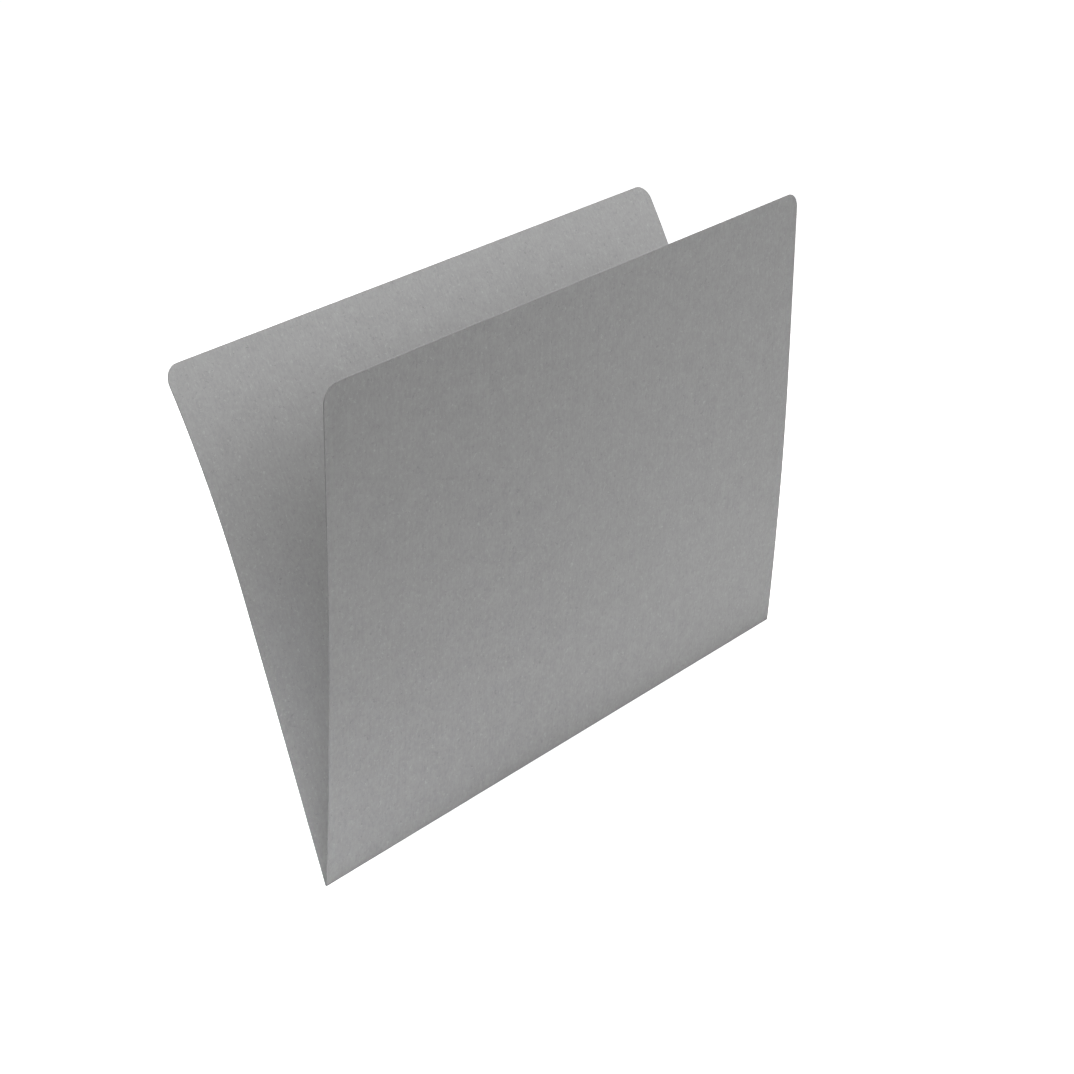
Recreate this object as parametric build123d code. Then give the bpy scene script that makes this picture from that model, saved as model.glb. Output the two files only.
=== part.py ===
from build123d import *
import math
import os

# Square-cut folder of manila board, standing half open on its fold.
# Millimetres. X runs along the fold, the front leaf is on the -Y side, +Z is up.
# The origin is the middle of the fold, on its lowest line.

# Sheet
leaf_width = 349.0
front_height = 240.0
back_height = 242.0
board_thickness = 0.4
corner_radius = 8.5

# Crease: the pressed line raises a round bead, which both leaves turn about
crease_radius = 0.4
hinge_clearance = 0.05

# Front leaf: it leaves the fold leaning outwards and bends until it stands upright
front_bow_angle = 4.4
front_bow_length = 145.0

# Back leaf: it leans back as a flat panel, and its upper part flares further back
back_lean_angle = 19.1
back_flare_angle = 11.1
back_flare_length = 104.0

# The leaves start clear of the bead, measured from the crease line along the board
leaf_start = crease_radius + hinge_clearance


def board_stretch(start, lean, length, bend):
    """Middle and end of a stretch of board, as (outwards, up), and its lean there, in radians."""
    places = []
    for share in (0.5, 1.0):
        turned = lean + bend * share
        run = length * share
        if bend:
            radius = length / bend
            out = radius * (math.cos(lean) - math.cos(turned))
            up = radius * (math.sin(turned) - math.sin(lean))
        else:
            out = run * math.sin(lean)
            up = run * math.cos(lean)
        places.append(((start[0] + out, start[1] + up), turned))
    return places


def offset_out(point, lean):
    """The point on the outer face, one board thickness from a point on the inner face."""
    return (
        point[0] + board_thickness * math.cos(lean),
        point[1] - board_thickness * math.sin(lean),
    )


def make_leaf(side, lean_degrees, stretches):
    """A leaf on one side of the fold: side -1 is the front. A stretch is (length, bend in degrees)."""

    def place(point):
        return (side * point[0], crease_radius + point[1])

    lean = math.radians(lean_degrees)
    inner = (leaf_start * math.sin(lean), leaf_start * math.cos(lean))
    outer = offset_out(inner, lean)
    edges = [Line(place(inner), place(outer))]
    for length, bend_degrees in stretches:
        bend = math.radians(bend_degrees)
        (inner_mid, mid_lean), (inner_end, end_lean) = board_stretch(inner, lean, length, bend)
        outer_mid = offset_out(inner_mid, mid_lean)
        outer_end = offset_out(inner_end, end_lean)
        if bend:
            edges.append(ThreePointArc(place(inner), place(inner_mid), place(inner_end)))
            edges.append(ThreePointArc(place(outer), place(outer_mid), place(outer_end)))
        else:
            edges.append(Line(place(inner), place(inner_end)))
            edges.append(Line(place(outer), place(outer_end)))
        inner, outer, lean = inner_end, outer_end, end_lean
    edges.append(Line(place(inner), place(outer)))

    profile = Plane.YZ * make_face(edges)
    leaf = extrude(profile, amount=leaf_width / 2, both=True)

    # The top corners are die-cut round
    top_middle = ((inner[0] + outer[0]) / 2, (inner[1] + outer[1]) / 2)
    top_y, top_z = place(top_middle)
    corners = []
    for x in (-leaf_width / 2, leaf_width / 2):
        corners.append(leaf.edges().sort_by_distance((x, top_y, top_z))[0])
    return fillet(corners, corner_radius)


def make_crease():
    """The round bead of the crease, along the whole fold, resting on the origin plane."""
    bead = Cylinder(crease_radius, leaf_width, rotation=(0, 90, 0))
    return Pos(0, 0, crease_radius) * bead


front_panel_length = front_height - leaf_start - front_bow_length
back_panel_length = back_height - leaf_start - back_flare_length

nodes = {
    "fold_crease": make_crease(),
    "front_leaf": make_leaf(
        -1,
        front_bow_angle,
        [(front_bow_length, -front_bow_angle), (front_panel_length, 0)],
    ),
    "back_leaf": make_leaf(
        1,
        back_lean_angle,
        [(back_panel_length, 0), (back_flare_length, back_flare_angle)],
    ),
}

os.makedirs("parts", exist_ok=True)
for name, solid in nodes.items():
    solid.label = name
    export_step(solid, f"parts/{name}.step")
    box = solid.bounding_box()
    print(name, "volume", round(solid.volume, 2), "mm3, from", box.min, "to", box.max)
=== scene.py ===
"""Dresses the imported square-cut manila folder: two board leaves, the pressed crease and a plain studio."""

import math

import bmesh
import bpy
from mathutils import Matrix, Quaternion, Vector


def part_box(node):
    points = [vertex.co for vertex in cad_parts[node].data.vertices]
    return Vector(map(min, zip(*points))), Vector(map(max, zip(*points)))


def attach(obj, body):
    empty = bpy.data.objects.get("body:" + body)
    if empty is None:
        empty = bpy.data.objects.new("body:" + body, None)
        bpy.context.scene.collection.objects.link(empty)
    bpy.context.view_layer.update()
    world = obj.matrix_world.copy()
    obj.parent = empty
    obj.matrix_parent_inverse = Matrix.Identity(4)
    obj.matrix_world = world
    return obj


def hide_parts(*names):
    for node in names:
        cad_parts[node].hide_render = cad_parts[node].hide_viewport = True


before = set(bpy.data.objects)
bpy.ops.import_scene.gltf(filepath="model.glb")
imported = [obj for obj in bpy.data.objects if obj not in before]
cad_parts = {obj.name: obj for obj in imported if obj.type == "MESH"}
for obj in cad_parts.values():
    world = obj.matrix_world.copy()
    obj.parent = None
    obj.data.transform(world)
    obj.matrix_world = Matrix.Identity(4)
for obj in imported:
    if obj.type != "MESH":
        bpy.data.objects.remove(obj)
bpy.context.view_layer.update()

bl_info = {
    "name": "Manila folder",
    "version": (1, 0, 0),
    "blender": (4, 5, 0),
    "location": "3D View > Sidebar > Folder",
    "description": "Builds a square-cut manila folder of grey board, half open, in a plain studio",
    "category": "Object",
}

# Sizes that follow the frame, in metres
leaf_low, leaf_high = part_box("front_leaf")
crease_low, crease_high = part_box("fold_crease")
FRAME_LEAF_WIDTH = leaf_high.x - leaf_low.x
FRAME_CREASE_RADIUS = (crease_high.z - crease_low.z) / 2
CREASE_AXIS_HEIGHT = (crease_high.z + crease_low.z) / 2

MM = 0.001
WHITE = (1, 1, 1, 1)

# How finely the board is divided, and the closer rows beside the crease
STEPS_ACROSS = 110
STEPS_UP = 80
CORNER_STEPS = 10
CREASE_STEPS_ALONG = 240
CREASE_STEPS_ROUND = 28
CLOSE_ROWS_MM = (0, 0.3, 0.6, 0.9, 1.2, 1.6, 2.2, 3.2)

# The leaves turn about the crease with this much air, which is too little to see
CREASE_AIR = 0.02 * MM

# Lengths of the leaves' slow waves, and the stretch above the crease over which they grow
WAVE_ALONG_FOLD = 310 * MM
WAVE_UP_BOARD = 390 * MM
WAVE_ASLANT = 170 * MM
WAVE_GROWTH = 60 * MM

# The line that the creasing rule presses into the outer faces: how far up the board, and how broad
SCORE_DISTANCE = 0.9 * MM
SCORE_SPREAD = 0.3 * MM

# Dents along the crease: their depth, and two lengths that set how they are spaced
DENT_DEPTH = 0.02 * MM
DENT_LENGTH = 2.3 * MM
DENT_DRIFT = 7.1 * MM

# Names of the mesh attributes that carry the flat sheet's own measures to the material, in millimetres
SHEET_PLACE = "sheet_mm"
EDGE_DISTANCE = "edge_mm"


def linear(hex_code):
    """An sRGB hex colour such as #9B9B9B as linear red, green and blue."""
    parts = []
    for start in (1, 3, 5):
        value = int(hex_code[start:start + 2], 16) / 255
        if value <= 0.04045:
            parts.append(value / 12.92)
        else:
            parts.append(((value + 0.055) / 1.055) ** 2.4)
    return tuple(parts)


class FolderSizes(bpy.types.PropertyGroup):
    """Sizes of the folder, as cut from the sheet and as it stands half open."""

    leaf_width: bpy.props.FloatProperty(
        name="Leaf width",
        description="Length of the fold, and of both leaves along it",
        default=FRAME_LEAF_WIDTH, min=0.05, unit="LENGTH")
    front_height: bpy.props.FloatProperty(
        name="Front height",
        description="Front leaf from the crease to its top edge, measured along the board",
        default=240 * MM, min=0.05, unit="LENGTH")
    back_height: bpy.props.FloatProperty(
        name="Back height",
        description="Back leaf from the crease to its top edge, measured along the board",
        default=242 * MM, min=0.05, unit="LENGTH")
    board_thickness: bpy.props.FloatProperty(
        name="Board thickness",
        description="Thickness of the manila board",
        default=0.4 * MM, min=0.0001, precision=5, unit="LENGTH")
    corner_radius: bpy.props.FloatProperty(
        name="Corner radius",
        description="Radius of the two die-cut top corners of each leaf",
        default=8.5 * MM, min=0.001, unit="LENGTH")
    crease_radius: bpy.props.FloatProperty(
        name="Crease radius",
        description="Radius of the bead that the crease raises along the fold",
        default=FRAME_CREASE_RADIUS, min=0.0001, precision=5, unit="LENGTH")
    edge_rounding: bpy.props.FloatProperty(
        name="Edge rounding",
        description="Radius that the die and handling leave on the cut edges",
        default=0.08 * MM, min=0.00001, precision=6, unit="LENGTH")
    score_depth: bpy.props.FloatProperty(
        name="Score depth",
        description="Depth of the line pressed into the board beside the crease",
        default=0.03 * MM, min=0, precision=6, unit="LENGTH")
    wave_height: bpy.props.FloatProperty(
        name="Wave height",
        description="How far damp has bowed the leaves out of true",
        default=0.35 * MM, min=0, precision=5, unit="LENGTH")
    front_bow_angle: bpy.props.FloatProperty(
        name="Front bow",
        description="Outward lean of the front leaf at the fold, which it loses over the bow length",
        default=math.radians(4.4), subtype="ANGLE")
    front_bow_length: bpy.props.FloatProperty(
        name="Front bow length",
        description="Stretch of the front leaf above the fold that is bowed",
        default=145 * MM, min=0.001, unit="LENGTH")
    back_lean_angle: bpy.props.FloatProperty(
        name="Back lean",
        description="Backward lean of the flat lower part of the back leaf",
        default=math.radians(19.1), subtype="ANGLE")
    back_flare_angle: bpy.props.FloatProperty(
        name="Back flare",
        description="Further lean that the upper part of the back leaf takes on",
        default=math.radians(11.1), subtype="ANGLE")
    back_flare_length: bpy.props.FloatProperty(
        name="Back flare length",
        description="Stretch of the back leaf below its top edge that flares",
        default=104 * MM, min=0.001, unit="LENGTH")


class FolderColours(bpy.types.PropertyGroup):
    """Colours of the board and of the studio."""

    board_thin: bpy.props.FloatVectorProperty(
        name="Board, thin spots",
        description="Grey of the board between clumps of fibre",
        default=linear("#919191"), min=0, max=1, subtype="COLOR")
    board_dense: bpy.props.FloatVectorProperty(
        name="Board, dense spots",
        description="Grey of the board where fibres clump together",
        default=linear("#A5A5A5"), min=0, max=1, subtype="COLOR")
    pale_fibre: bpy.props.FloatVectorProperty(
        name="Pale fibres",
        description="Single undyed fibres at the surface",
        default=linear("#BEBEBE"), min=0, max=1, subtype="COLOR")
    dark_fibre: bpy.props.FloatVectorProperty(
        name="Dark fibres",
        description="Single deeply dyed fibres at the surface",
        default=linear("#6E6E6E"), min=0, max=1, subtype="COLOR")
    # Painted shade for the rough cut edge and the crease, also used for the wear beside the edge
    edge_shade_and_wear: bpy.props.FloatVectorProperty(
        name="Cut edge",
        description="Fibre ends that the die lays bare, which trap a little of the light",
        default=linear("#707070"), min=0, max=1, subtype="COLOR")
    floor: bpy.props.FloatVectorProperty(
        name="Floor",
        description="The studio's pale floor",
        default=linear("#F0F0F0"), min=0, max=1, subtype="COLOR")


def board_path(distance, lean, stretches):
    """Outward reach, height and lean of the inner face, at a distance along the board from the crease line.

    A stretch is (length, bend), and the last one runs on as far as it has to.
    """
    out = 0.0
    up = 0.0
    left = distance
    for number, (length, bend) in enumerate(stretches):
        run = left if number == len(stretches) - 1 else min(left, length)
        turned = lean + bend * run / length
        if bend:
            radius = length / bend
            out += radius * (math.cos(lean) - math.cos(turned))
            up += radius * (math.sin(turned) - math.sin(lean))
        else:
            out += run * math.sin(lean)
            up += run * math.cos(lean)
        lean = turned
        left -= run
    return out, up, lean


def slow_wave(x, distance, side):
    """Share of the wave's height that the board bows inwards here, growing from none at the crease."""
    grown = min(distance / WAVE_GROWTH, 1)
    grown = grown * grown * (3 - 2 * grown)
    along = math.sin(2 * math.pi * x / WAVE_ALONG_FOLD + 0.9 * side)
    upward = math.cos(2 * math.pi * distance / WAVE_UP_BOARD + 0.7 * side)
    aslant = math.sin(2 * math.pi * (x + 0.6 * distance) / WAVE_ASLANT)
    return grown * (0.5 + 0.35 * along * upward + 0.15 * aslant)


def pressed_score(distance):
    """How deep the pressed line is here, as a share of its full depth."""
    return math.exp(-(((distance - SCORE_DISTANCE) / SCORE_SPREAD) ** 2))


def cut_outline(width, height, radius, inset):
    """The leaf's cut edge from end to end, drawn in by inset: (x, height of the edge there)."""
    straight_half = width / 2 - radius
    reach = radius - inset
    left_corner = []
    for step in range(CORNER_STEPS + 1):
        angle = math.pi / 2 * (1 - step / CORNER_STEPS)
        x = -straight_half - reach * math.sin(angle)
        left_corner.append((x, height - radius + reach * math.cos(angle)))
    stations = list(left_corner)
    for step in range(1, STEPS_ACROSS):
        stations.append((-straight_half + 2 * straight_half * step / STEPS_ACROSS, height - inset))
    for x, top in reversed(left_corner):
        stations.append((-x, top))
    return stations


def cut_distance(x, distance, width, height, radius):
    """How far a point of the leaf lies inside its cut edge."""
    past_end = abs(x) - (width / 2 - radius)
    past_top = distance - (height - radius)
    if past_end > 0 and past_top > 0:
        past = math.hypot(past_end, past_top)
    else:
        past = max(past_end, past_top)
    return max(radius - past, 0)


def rows_up(height):
    """Shares of the leaf's height at which the board is divided, close together beside the crease."""
    shares = [distance * MM / height for distance in CLOSE_ROWS_MM]
    first = shares[-1]
    for step in range(1, STEPS_UP + 1):
        shares.append(first + (1 - first) * step / STEPS_UP)
    return shares


def add_strips(shape, rows):
    """Adds the faces between neighbouring rows of points."""
    for near, far in zip(rows, rows[1:]):
        for step in range(len(near) - 1):
            shape.faces.new((near[step], near[step + 1], far[step + 1], far[step]))


def link_object(name, shape, material):
    """Turns a finished shape into an object of the scene."""
    mesh = bpy.data.meshes.new(name)
    shape.to_mesh(mesh)
    shape.free()
    mesh.materials.append(material)
    made = bpy.data.objects.new(name, mesh)
    bpy.context.scene.collection.objects.link(made)
    return made


def make_leaf(name, side, height, lean, stretches, sizes, material):
    """One leaf as a closed sheet of real thickness. Side is -1 for the front leaf and 1 for the back one."""
    thickness = sizes.board_thickness
    rounding = sizes.edge_rounding
    width = sizes.leaf_width
    radius = sizes.corner_radius
    shares = rows_up(height)
    face_outline = cut_outline(width, height, radius, rounding)

    shape = bmesh.new()
    place_layer = shape.verts.layers.float_vector.new(SHEET_PLACE)
    edge_layer = shape.verts.layers.float.new(EDGE_DISTANCE)

    def add_point(x, top, share, depth):
        """Adds a point at a share of the way up to the edge at top, this deep under the inner face."""
        # The end beside the crease is hollowed to turn about it
        start = math.sqrt(max((sizes.crease_radius + CREASE_AIR) ** 2 - depth ** 2, 0))
        distance = start + share * (top - start)
        out, up, lean_here = board_path(distance, lean, stretches)
        wave = sizes.wave_height * slow_wave(x, distance, side)
        score = sizes.score_depth * (depth / thickness) * pressed_score(distance)
        reach = depth - wave - score
        vertex = shape.verts.new((
            x,
            side * (out + reach * math.cos(lean_here)),
            CREASE_AXIS_HEIGHT + up - reach * math.sin(lean_here),
        ))
        vertex[place_layer] = (x / MM, side * distance / MM, depth / MM)
        vertex[edge_layer] = cut_distance(x, distance, width, height, radius) / MM
        return vertex

    def add_face_points(depth):
        """Adds the rows of points over one face."""
        grid = []
        for share in shares:
            grid.append([add_point(x, top, share, depth) for x, top in face_outline])
        return grid

    def around(grid):
        """The border of a face, up one end, along the top and down the other end."""
        rim = [row[0] for row in grid]
        rim += grid[-1][1:-1]
        rim += [row[-1] for row in reversed(grid)]
        return rim

    # Across the cut edge, between the two faces: (how far in, how deep)
    slant = rounding * (1 - math.sqrt(0.5))
    edge_section = (
        (slant, slant),
        (0, rounding),
        (0, thickness - rounding),
        (slant, thickness - slant),
    )
    inner = add_face_points(0)
    outer = add_face_points(thickness)
    edge_rings = [around(inner)]
    end_rows = [inner[0]]
    for inset, depth in edge_section:
        outline = cut_outline(width, height, radius, inset)
        ring = [add_point(*outline[0], share, depth) for share in shares]
        ring += [add_point(x, top, 1, depth) for x, top in outline[1:-1]]
        ring += [add_point(*outline[-1], share, depth) for share in reversed(shares)]
        edge_rings.append(ring)
        end_rows.append([add_point(x, top, 0, depth) for x, top in face_outline])
    edge_rings.append(around(outer))
    end_rows.append(outer[0])

    # The two faces, the cut edge round the ends and the top, and the hollow end beside the crease
    for rows in (inner, outer, edge_rings, end_rows):
        add_strips(shape, rows)

    # Where the hollow end meets the cut edge, in faces of three or four corners
    for step in range(len(edge_rings) - 1):
        for end in (0, -1):
            corners = [edge_rings[step][end], edge_rings[step + 1][end]]
            corners += [end_rows[step + 1][end], end_rows[step][end]]
            shape.faces.new(list(dict.fromkeys(corners)))

    # Both faces shade apart from the edges that bound them
    for grid in (inner, outer):
        border = around(grid) + grid[0][::-1][1:]
        for first, second in zip(border, border[1:]):
            shape.edges.get((first, second)).smooth = False

    for face in shape.faces:
        face.smooth = True
    bmesh.ops.recalc_face_normals(shape, faces=shape.faces)
    return link_object(name, shape, material)


def make_crease(name, sizes, material):
    """The pressed bead along the fold, a little uneven where fibres have given way."""
    half = sizes.leaf_width / 2
    radius = sizes.crease_radius
    rounding = sizes.edge_rounding
    shape = bmesh.new()
    place_layer = shape.verts.layers.float_vector.new(SHEET_PLACE)
    edge_layer = shape.verts.layers.float.new(EDGE_DISTANCE)

    def add_ring(x, ring_radius):
        """Adds the points round the bead at one place along the fold, and closes the ring with its first."""
        ring = []
        for step in range(CREASE_STEPS_ROUND):
            angle = 2 * math.pi * step / CREASE_STEPS_ROUND
            dent = 0.5 + 0.5 * math.sin(x / DENT_LENGTH + 2 * math.sin(x / DENT_DRIFT) + angle)
            reach = ring_radius - DENT_DEPTH * dent
            vertex = shape.verts.new((
                x,
                reach * math.sin(angle),
                CREASE_AXIS_HEIGHT - reach * math.cos(angle),
            ))
            arc = radius * (angle if angle <= math.pi else angle - 2 * math.pi)
            vertex[place_layer] = (x / MM, arc / MM, sizes.board_thickness / MM)
            vertex[edge_layer] = (half - abs(x)) / MM
            ring.append(vertex)
        return ring + ring[:1]

    rings = [add_ring(-half, radius - rounding)]
    for step in range(CREASE_STEPS_ALONG + 1):
        share = step / CREASE_STEPS_ALONG
        rings.append(add_ring((half - rounding) * (2 * share - 1), radius))
    rings.append(add_ring(half, radius - rounding))
    add_strips(shape, rings)
    for face in shape.faces:
        face.smooth = True

    # The two cut ends are flat
    for ring in (rings[0], rings[-1]):
        shape.faces.new(ring[:-1])
    bmesh.ops.recalc_face_normals(shape, faces=shape.faces)
    return link_object(name, shape, material)


def add_node(tree, kind, inputs=(), **settings):
    """Adds a node with its own settings.

    Inputs maps a socket's name or number to a value, or to an output that is linked to it.
    """
    node = tree.nodes.new(kind)
    node.location = (220 * (len(tree.nodes) % 8), -260 * (len(tree.nodes) // 8))
    for name, value in settings.items():
        setattr(node, name, value)
    for name, value in dict(inputs).items():
        if isinstance(value, bpy.types.NodeSocket):
            tree.links.new(value, node.inputs[name])
        else:
            node.inputs[name].default_value = value
    return node


def empty_material(name):
    """A new material without nodes, and its node tree."""
    material = bpy.data.materials.new(name)
    material.use_nodes = True
    material.node_tree.nodes.clear()
    return material, material.node_tree


def board_formation(tree, place):
    """How densely the fibres lie, and the clumps on their own, which also set gloss and relief."""
    # Real sizes in millimetres: clouds, clumps drawn out away from the fold, and faint streaks the same way
    cloud = 9.0
    clump = 1.5
    clump_stretch = 1.7
    streak_width = 1.1
    streak_length = 60.0
    cloud_share = 0.30
    clump_share = 0.55
    streak_share = 0.15

    clouds = add_node(
        tree, "ShaderNodeTexNoise",
        {"Vector": place, "Scale": 1 / cloud, "Detail": 2.0, "Roughness": 0.5}).outputs[0]
    clump_place = add_node(
        tree, "ShaderNodeVectorMath",
        {0: place, 1: (1 / clump, 1 / (clump * clump_stretch), 1 / clump)},
        operation="MULTIPLY").outputs[0]
    clumps = add_node(
        tree, "ShaderNodeTexNoise",
        {"Vector": clump_place, "Scale": 1.0, "Detail": 3.0, "Roughness": 0.6}).outputs[0]
    streak_place = add_node(
        tree, "ShaderNodeVectorMath",
        {0: place, 1: (1 / streak_width, 1 / streak_length, 0)},
        operation="MULTIPLY").outputs[0]
    streaks = add_node(
        tree, "ShaderNodeTexNoise",
        {"Vector": streak_place, "Scale": 1.0, "Detail": 1.0, "Roughness": 0.5}).outputs[0]

    formation = add_node(
        tree, "ShaderNodeMath", {0: clouds, 1: cloud_share}, operation="MULTIPLY").outputs[0]
    for part, share in ((clumps, clump_share), (streaks, streak_share)):
        formation = add_node(
            tree, "ShaderNodeMath", {0: part, 1: share, 2: formation}, operation="MULTIPLY_ADD").outputs[0]
    density = add_node(
        tree, "ShaderNodeMapRange",
        {"Value": formation, "From Min": 0.25, "From Max": 0.75, "To Min": 0.0, "To Max": 1.0}).outputs[0]
    return density, clumps


def stray_fibres(tree, place, shift, strength):
    """Where single fibres lie at the surface: thin curled lines, broken into short lengths."""
    # Their length in millimetres. They are about 0.03 mm wide, too fine to show, so they are drawn coarser.
    fibre_length = 2.4
    fibre_share = 0.03

    moved = add_node(
        tree, "ShaderNodeVectorMath", {0: place, 1: (shift, shift, 0)}, operation="ADD").outputs[0]
    curl = add_node(
        tree, "ShaderNodeTexNoise",
        {"Vector": moved, "Scale": 1 / fibre_length, "Detail": 0.0, "Distortion": 1.2}).outputs[0]
    away = add_node(tree, "ShaderNodeMath", {0: curl, 1: 0.5}, operation="SUBTRACT").outputs[0]
    away = add_node(tree, "ShaderNodeMath", {0: away}, operation="ABSOLUTE").outputs[0]
    line = add_node(
        tree, "ShaderNodeMapRange",
        {"Value": away, "From Min": 0.0, "From Max": fibre_share, "To Min": strength, "To Max": 0.0},
    ).outputs[0]
    breaks = add_node(
        tree, "ShaderNodeTexNoise",
        {"Vector": moved, "Scale": 1.3 / fibre_length, "Detail": 0.0}).outputs[0]
    kept = add_node(
        tree, "ShaderNodeMapRange",
        {"Value": breaks, "From Min": 0.52, "From Max": 0.6, "To Min": 0.0, "To Max": 1.0}).outputs[0]
    return add_node(tree, "ShaderNodeMath", {0: line, 1: kept}, operation="MULTIPLY").outputs[0]


def painted_shade_and_wear(tree, place, clumps):
    """How dark the board is painted: shade at its rough cut edge and at the crease, and wear on the handled
    face beside the edge.
    """
    # Widths of the three bands in millimetres, and how dark each is where it starts
    # The cut-edge band is painted shade: the rough fibre ends' self-shadow, which also darkens the top edge
    # that the lamps light most
    cut_shade_band, cut_shade_amount = 0.1, 0.9
    # The band beside the cut edge is wear from handling
    rubbed_band, rubbed_amount = 0.9, 0.15
    # The crease band is painted shade along the fold line
    crease_shade_band, crease_shade_amount = 0.9, 0.15

    from_edge = add_node(tree, "ShaderNodeAttribute", attribute_name=EDGE_DISTANCE).outputs["Fac"]
    up_board = add_node(tree, "ShaderNodeSeparateXYZ", {0: place}).outputs["Y"]
    from_crease = add_node(tree, "ShaderNodeMath", {0: up_board}, operation="ABSOLUTE").outputs[0]
    bands = (
        (from_edge, cut_shade_band, cut_shade_amount),
        (from_edge, rubbed_band, rubbed_amount),
        (from_crease, crease_shade_band, crease_shade_amount),
    )
    shade_and_wear = None
    for distance, band, amount in bands:
        here = add_node(
            tree, "ShaderNodeMapRange",
            {"Value": distance, "From Min": 0.0, "From Max": band, "To Min": amount, "To Max": 0.0},
            interpolation_type="SMOOTHSTEP").outputs[0]
        if shade_and_wear is not None:
            here = add_node(tree, "ShaderNodeMath", {0: shade_and_wear, 1: here}, operation="MAXIMUM").outputs[0]
        shade_and_wear = here

    # Thin spots between the clumps take less of the wear and of the painted shade
    patchy = add_node(
        tree, "ShaderNodeMapRange",
        {"Value": clumps, "From Min": 0.3, "From Max": 0.65, "To Min": 0.35, "To Max": 1.0}).outputs[0]
    return add_node(tree, "ShaderNodeMath", {0: shade_and_wear, 1: patchy}, operation="MULTIPLY").outputs[0]


def manila_board(colours):
    """Uncoated manila board, grey through and through, smoothed between calender rolls."""
    name = "manila_board_calendered_grey"
    if name in bpy.data.materials:
        return bpy.data.materials[name]

    # The eye sees a matt grey with a cloudy, faintly grained mottle and stray fibres; the darker cut edges
    # and crease are painted shade
    material, tree = empty_material(name)
    place = add_node(tree, "ShaderNodeAttribute", attribute_name=SHEET_PLACE).outputs["Vector"]
    density, clumps = board_formation(tree, place)
    pale_strands = stray_fibres(tree, place, shift=0.0, strength=0.5)
    dark_strands = stray_fibres(tree, place, shift=41.0, strength=0.4)
    shade_and_wear = painted_shade_and_wear(tree, place, clumps)

    # The thin spots' grey lies under all, and each further colour goes over it where its layer is
    layers = (
        (density, colours.board_dense),
        (pale_strands, colours.pale_fibre),
        (dark_strands, colours.dark_fibre),
        # The last layer is painted shade at the cut edge and the crease, with wear beside the edge
        (shade_and_wear, colours.edge_shade_and_wear),
    )
    colour = (*colours.board_thin, 1)
    for layer, layer_colour in layers:
        colour = add_node(
            tree, "ShaderNodeMix", {0: layer, 6: colour, 7: (*layer_colour, 1)}, data_type="RGBA").outputs[2]

    # Calendering leaves the dense clumps a little smoother, and the pale fibres stand slightly proud
    roughness = add_node(
        tree, "ShaderNodeMapRange",
        {"Value": clumps, "From Min": 0.3, "From Max": 0.7, "To Min": 0.92, "To Max": 0.82}).outputs[0]
    relief = add_node(
        tree, "ShaderNodeMath", {0: pale_strands, 1: 0.6, 2: clumps}, operation="MULTIPLY_ADD").outputs[0]
    normal = add_node(
        tree, "ShaderNodeBump", {"Strength": 0.35, "Distance": 0.05 * MM, "Height": relief}).outputs[0]
    shader = add_node(
        tree, "ShaderNodeBsdfPrincipled",
        {"Base Color": colour, "Roughness": roughness, "IOR": 1.5, "Normal": normal}).outputs[0]
    add_node(tree, "ShaderNodeOutputMaterial", {0: shader})
    return material


def seen_directly(tree):
    """One for rays from the camera, mirrors and glass, and nought for the rays that light the folder."""
    path = add_node(tree, "ShaderNodeLightPath")
    seen = path.outputs["Is Camera Ray"]
    for kind in ("Is Glossy Ray", "Is Transmission Ray"):
        seen = add_node(
            tree, "ShaderNodeMath", {0: seen, 1: path.outputs[kind]}, operation="MAXIMUM").outputs[0]
    return seen


def painted_floor(colours):
    """Smooth matt white paint, which shows the folder's soft shadow and otherwise goes to white."""
    lift_to_white = 0.77
    material, tree = empty_material("studio_floor_matt_paint")
    paint = add_node(tree, "ShaderNodeBsdfDiffuse", {"Color": (*colours.floor, 1)}).outputs[0]
    lift = add_node(
        tree, "ShaderNodeMath", {0: seen_directly(tree), 1: lift_to_white}, operation="MULTIPLY").outputs[0]
    glow = add_node(tree, "ShaderNodeEmission", {"Strength": lift}).outputs[0]
    both = add_node(tree, "ShaderNodeAddShader", {0: paint, 1: glow}).outputs[0]
    add_node(tree, "ShaderNodeOutputMaterial", {0: both})
    return material


def studio_world():
    """An even white dome of soft light, which looks plain white itself."""
    dome_strength = 0.28
    world = bpy.data.worlds.new("studio_dome")
    world.use_nodes = True
    tree = world.node_tree
    tree.nodes.clear()
    dome = add_node(tree, "ShaderNodeBackground", {"Color": WHITE, "Strength": dome_strength}).outputs[0]
    backdrop = add_node(tree, "ShaderNodeBackground", {"Color": WHITE, "Strength": 1.0}).outputs[0]
    both = add_node(tree, "ShaderNodeMixShader", {0: seen_directly(tree), 1: dome, 2: backdrop}).outputs[0]
    add_node(tree, "ShaderNodeOutputWorld", {0: both})
    return world


def make_floor(colours):
    """A wide flat floor under the fold."""
    half_size = 8.0
    divisions = 8
    shape = bmesh.new()
    bmesh.ops.create_grid(shape, x_segments=divisions, y_segments=divisions, size=half_size)
    return link_object("studio_floor", shape, painted_floor(colours))


def add_lamp(name, place, aim, size, power, spread):
    """A soft square lamp, turned to a point. Spread is the angle that its grid lets light out at."""
    lamp = bpy.data.lights.new(name, "AREA")
    lamp.shape = "SQUARE"
    lamp.size = size
    lamp.energy = power
    lamp.spread = math.radians(spread)
    holder = bpy.data.objects.new(name, lamp)
    holder.location = place
    holder.rotation_mode = "QUATERNION"
    holder.rotation_quaternion = (Vector(aim) - Vector(place)).to_track_quat("-Z", "Y")
    holder.visible_camera = False
    bpy.context.scene.collection.objects.link(holder)


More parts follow.
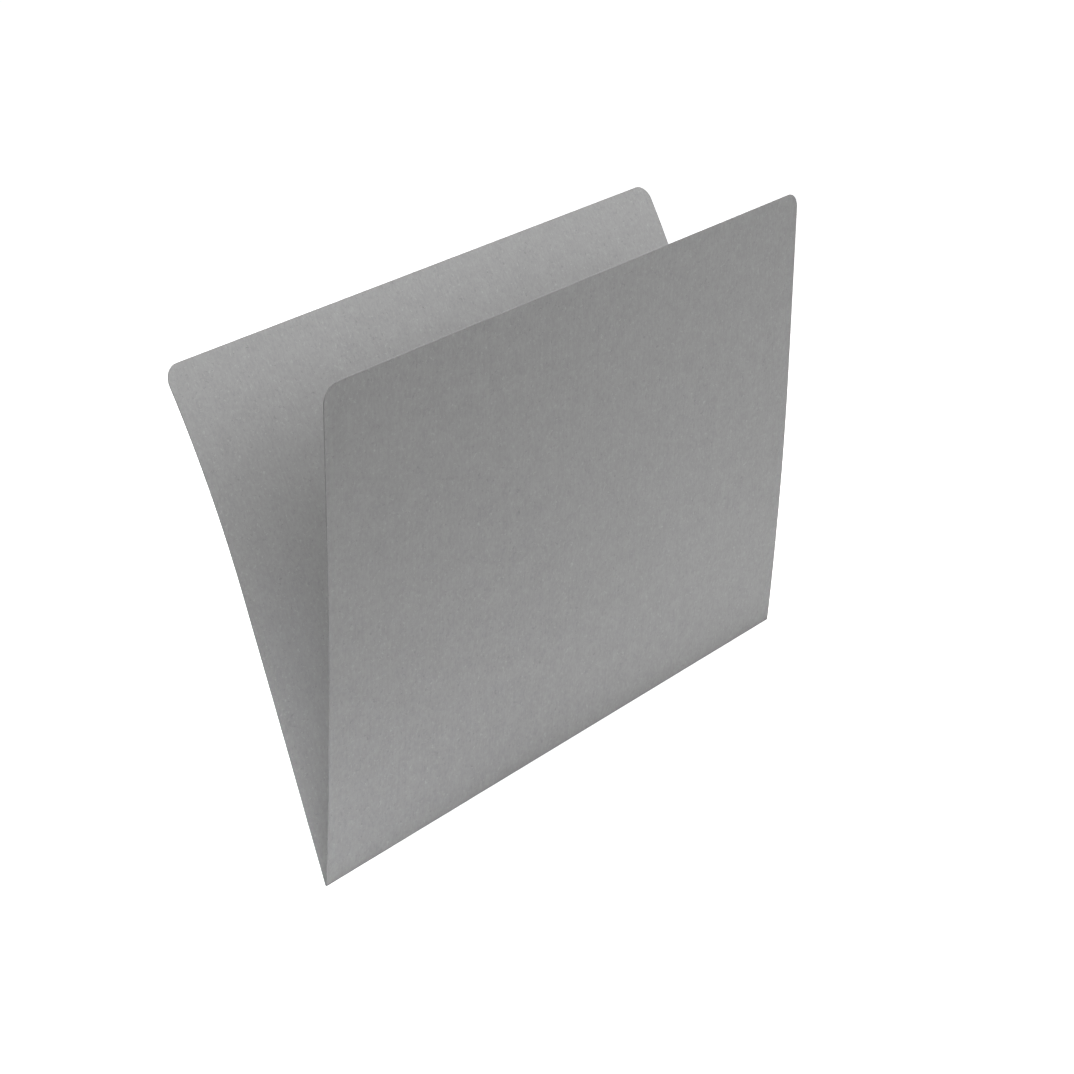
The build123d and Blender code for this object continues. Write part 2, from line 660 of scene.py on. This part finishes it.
def add_camera():
    """The photograph's viewpoint: turned and raised this far, with the object this far off."""
    azimuth = math.radians(-51.70)
    elevation = math.radians(24.57)
    roll = math.radians(0.60)
    distance = 1.2922
    aim = Vector((-0.0098, 0.0123, 0.1098))
    back = Vector((
        math.sin(azimuth) * math.cos(elevation),
        -math.cos(azimuth) * math.cos(elevation),
        math.sin(elevation),
    ))
    lens = bpy.data.cameras.new("photo_camera")
    lens.sensor_width = 36
    lens.lens = 91.25
    camera = bpy.data.objects.new("photo_camera", lens)
    camera.location = aim + back * distance
    camera.rotation_mode = "QUATERNION"
    camera.rotation_quaternion = (-back).to_track_quat("-Z", "Y") @ Quaternion((0, 0, 1), roll)
    bpy.context.scene.collection.objects.link(camera)
    return camera


class FOLDER_OT_front_leaf(bpy.types.Operator):
    """Make the front leaf, bowed outwards above the fold and upright from there on"""

    bl_idname = "folder.front_leaf"
    bl_label = "Front leaf"

    def execute(self, context):
        sizes = context.scene.folder_sizes
        straight = sizes.front_height - sizes.front_bow_length
        stretches = [(sizes.front_bow_length, -sizes.front_bow_angle), (straight, 0)]
        leaf = make_leaf(
            "front_leaf_board", -1, sizes.front_height, sizes.front_bow_angle, stretches,
            sizes, manila_board(context.scene.folder_colours))
        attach(leaf, "front")
        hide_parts("front_leaf")
        return {"FINISHED"}


class FOLDER_OT_back_leaf(bpy.types.Operator):
    """Make the back leaf, which leans back flat and then flares at the top"""

    bl_idname = "folder.back_leaf"
    bl_label = "Back leaf"

    def execute(self, context):
        sizes = context.scene.folder_sizes
        flat = sizes.back_height - sizes.back_flare_length
        stretches = [(flat, 0), (sizes.back_flare_length, sizes.back_flare_angle)]
        leaf = make_leaf(
            "back_leaf_board", 1, sizes.back_height, sizes.back_lean_angle, stretches,
            sizes, manila_board(context.scene.folder_colours))
        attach(leaf, "back")
        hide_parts("back_leaf")
        return {"FINISHED"}


class FOLDER_OT_crease(bpy.types.Operator):
    """Make the pressed crease that both leaves turn on"""

    bl_idname = "folder.crease"
    bl_label = "Crease"

    def execute(self, context):
        crease = make_crease(
            "pressed_crease", context.scene.folder_sizes, manila_board(context.scene.folder_colours))
        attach(crease, "crease")
        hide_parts("fold_crease")
        return {"FINISHED"}


class FOLDER_OT_stage(bpy.types.Operator):
    """Make the pale floor, the soft light and the camera"""

    bl_idname = "folder.stage"
    bl_label = "Stage"

    def execute(self, context):
        scene = context.scene
        scene.view_settings.view_transform = "Standard"
        scene.world = studio_world()
        floor = make_floor(scene.folder_colours)

        # Places, aims and sizes in metres, power in watts and spread in degrees
        add_lamp(
            "overhead_softbox", place=(-0.05, 0.06, 1.7), aim=(-0.05, 0.06, 0),
            size=0.5, power=3.4, spread=60)
        add_lamp(
            "right_softbox", place=(0.9, -0.9, 0.9), aim=(0.05, 0, 0.12),
            size=0.6, power=4.6, spread=180)
        add_lamp(
            "left_gridded_lamp", place=(-0.75, -0.08, 0.71), aim=(-0.2, 0.008, 0),
            size=0.12, power=0.08, spread=20)
        add_lamp(
            "front_gridded_lamp", place=(0.2, -0.18, 0.8), aim=(0.16, -0.1, 0),
            size=0.25, power=0.075, spread=30)
        scene.camera = add_camera()
        return {"FINISHED"}


class FOLDER_PT_panel(bpy.types.Panel):
    """Lists the folder's sizes, colours and pieces"""

    bl_idname = "FOLDER_PT_panel"
    bl_label = "Manila folder"
    bl_space_type = "VIEW_3D"
    bl_region_type = "UI"
    bl_category = "Folder"

    def draw(self, context):
        layout = self.layout
        for group in (context.scene.folder_sizes, context.scene.folder_colours):
            column = layout.column(align=True)
            for name in group.__annotations__:
                column.prop(group, name)
        for operator in OPERATORS:
            layout.operator(operator.bl_idname)


OPERATORS = (FOLDER_OT_front_leaf, FOLDER_OT_back_leaf, FOLDER_OT_crease, FOLDER_OT_stage)
CLASSES = (FolderSizes, FolderColours, *OPERATORS, FOLDER_PT_panel)


def register():
    for one in CLASSES:
        bpy.utils.register_class(one)
    bpy.types.Scene.folder_sizes = bpy.props.PointerProperty(type=FolderSizes)
    bpy.types.Scene.folder_colours = bpy.props.PointerProperty(type=FolderColours)


def unregister():
    del bpy.types.Scene.folder_colours
    del bpy.types.Scene.folder_sizes
    for one in reversed(CLASSES):
        bpy.utils.unregister_class(one)


def main():
    register()
    bpy.ops.folder.front_leaf()
    bpy.ops.folder.back_leaf()
    bpy.ops.folder.crease()
    bpy.ops.folder.stage()


if __name__ == "__main__":
    main()
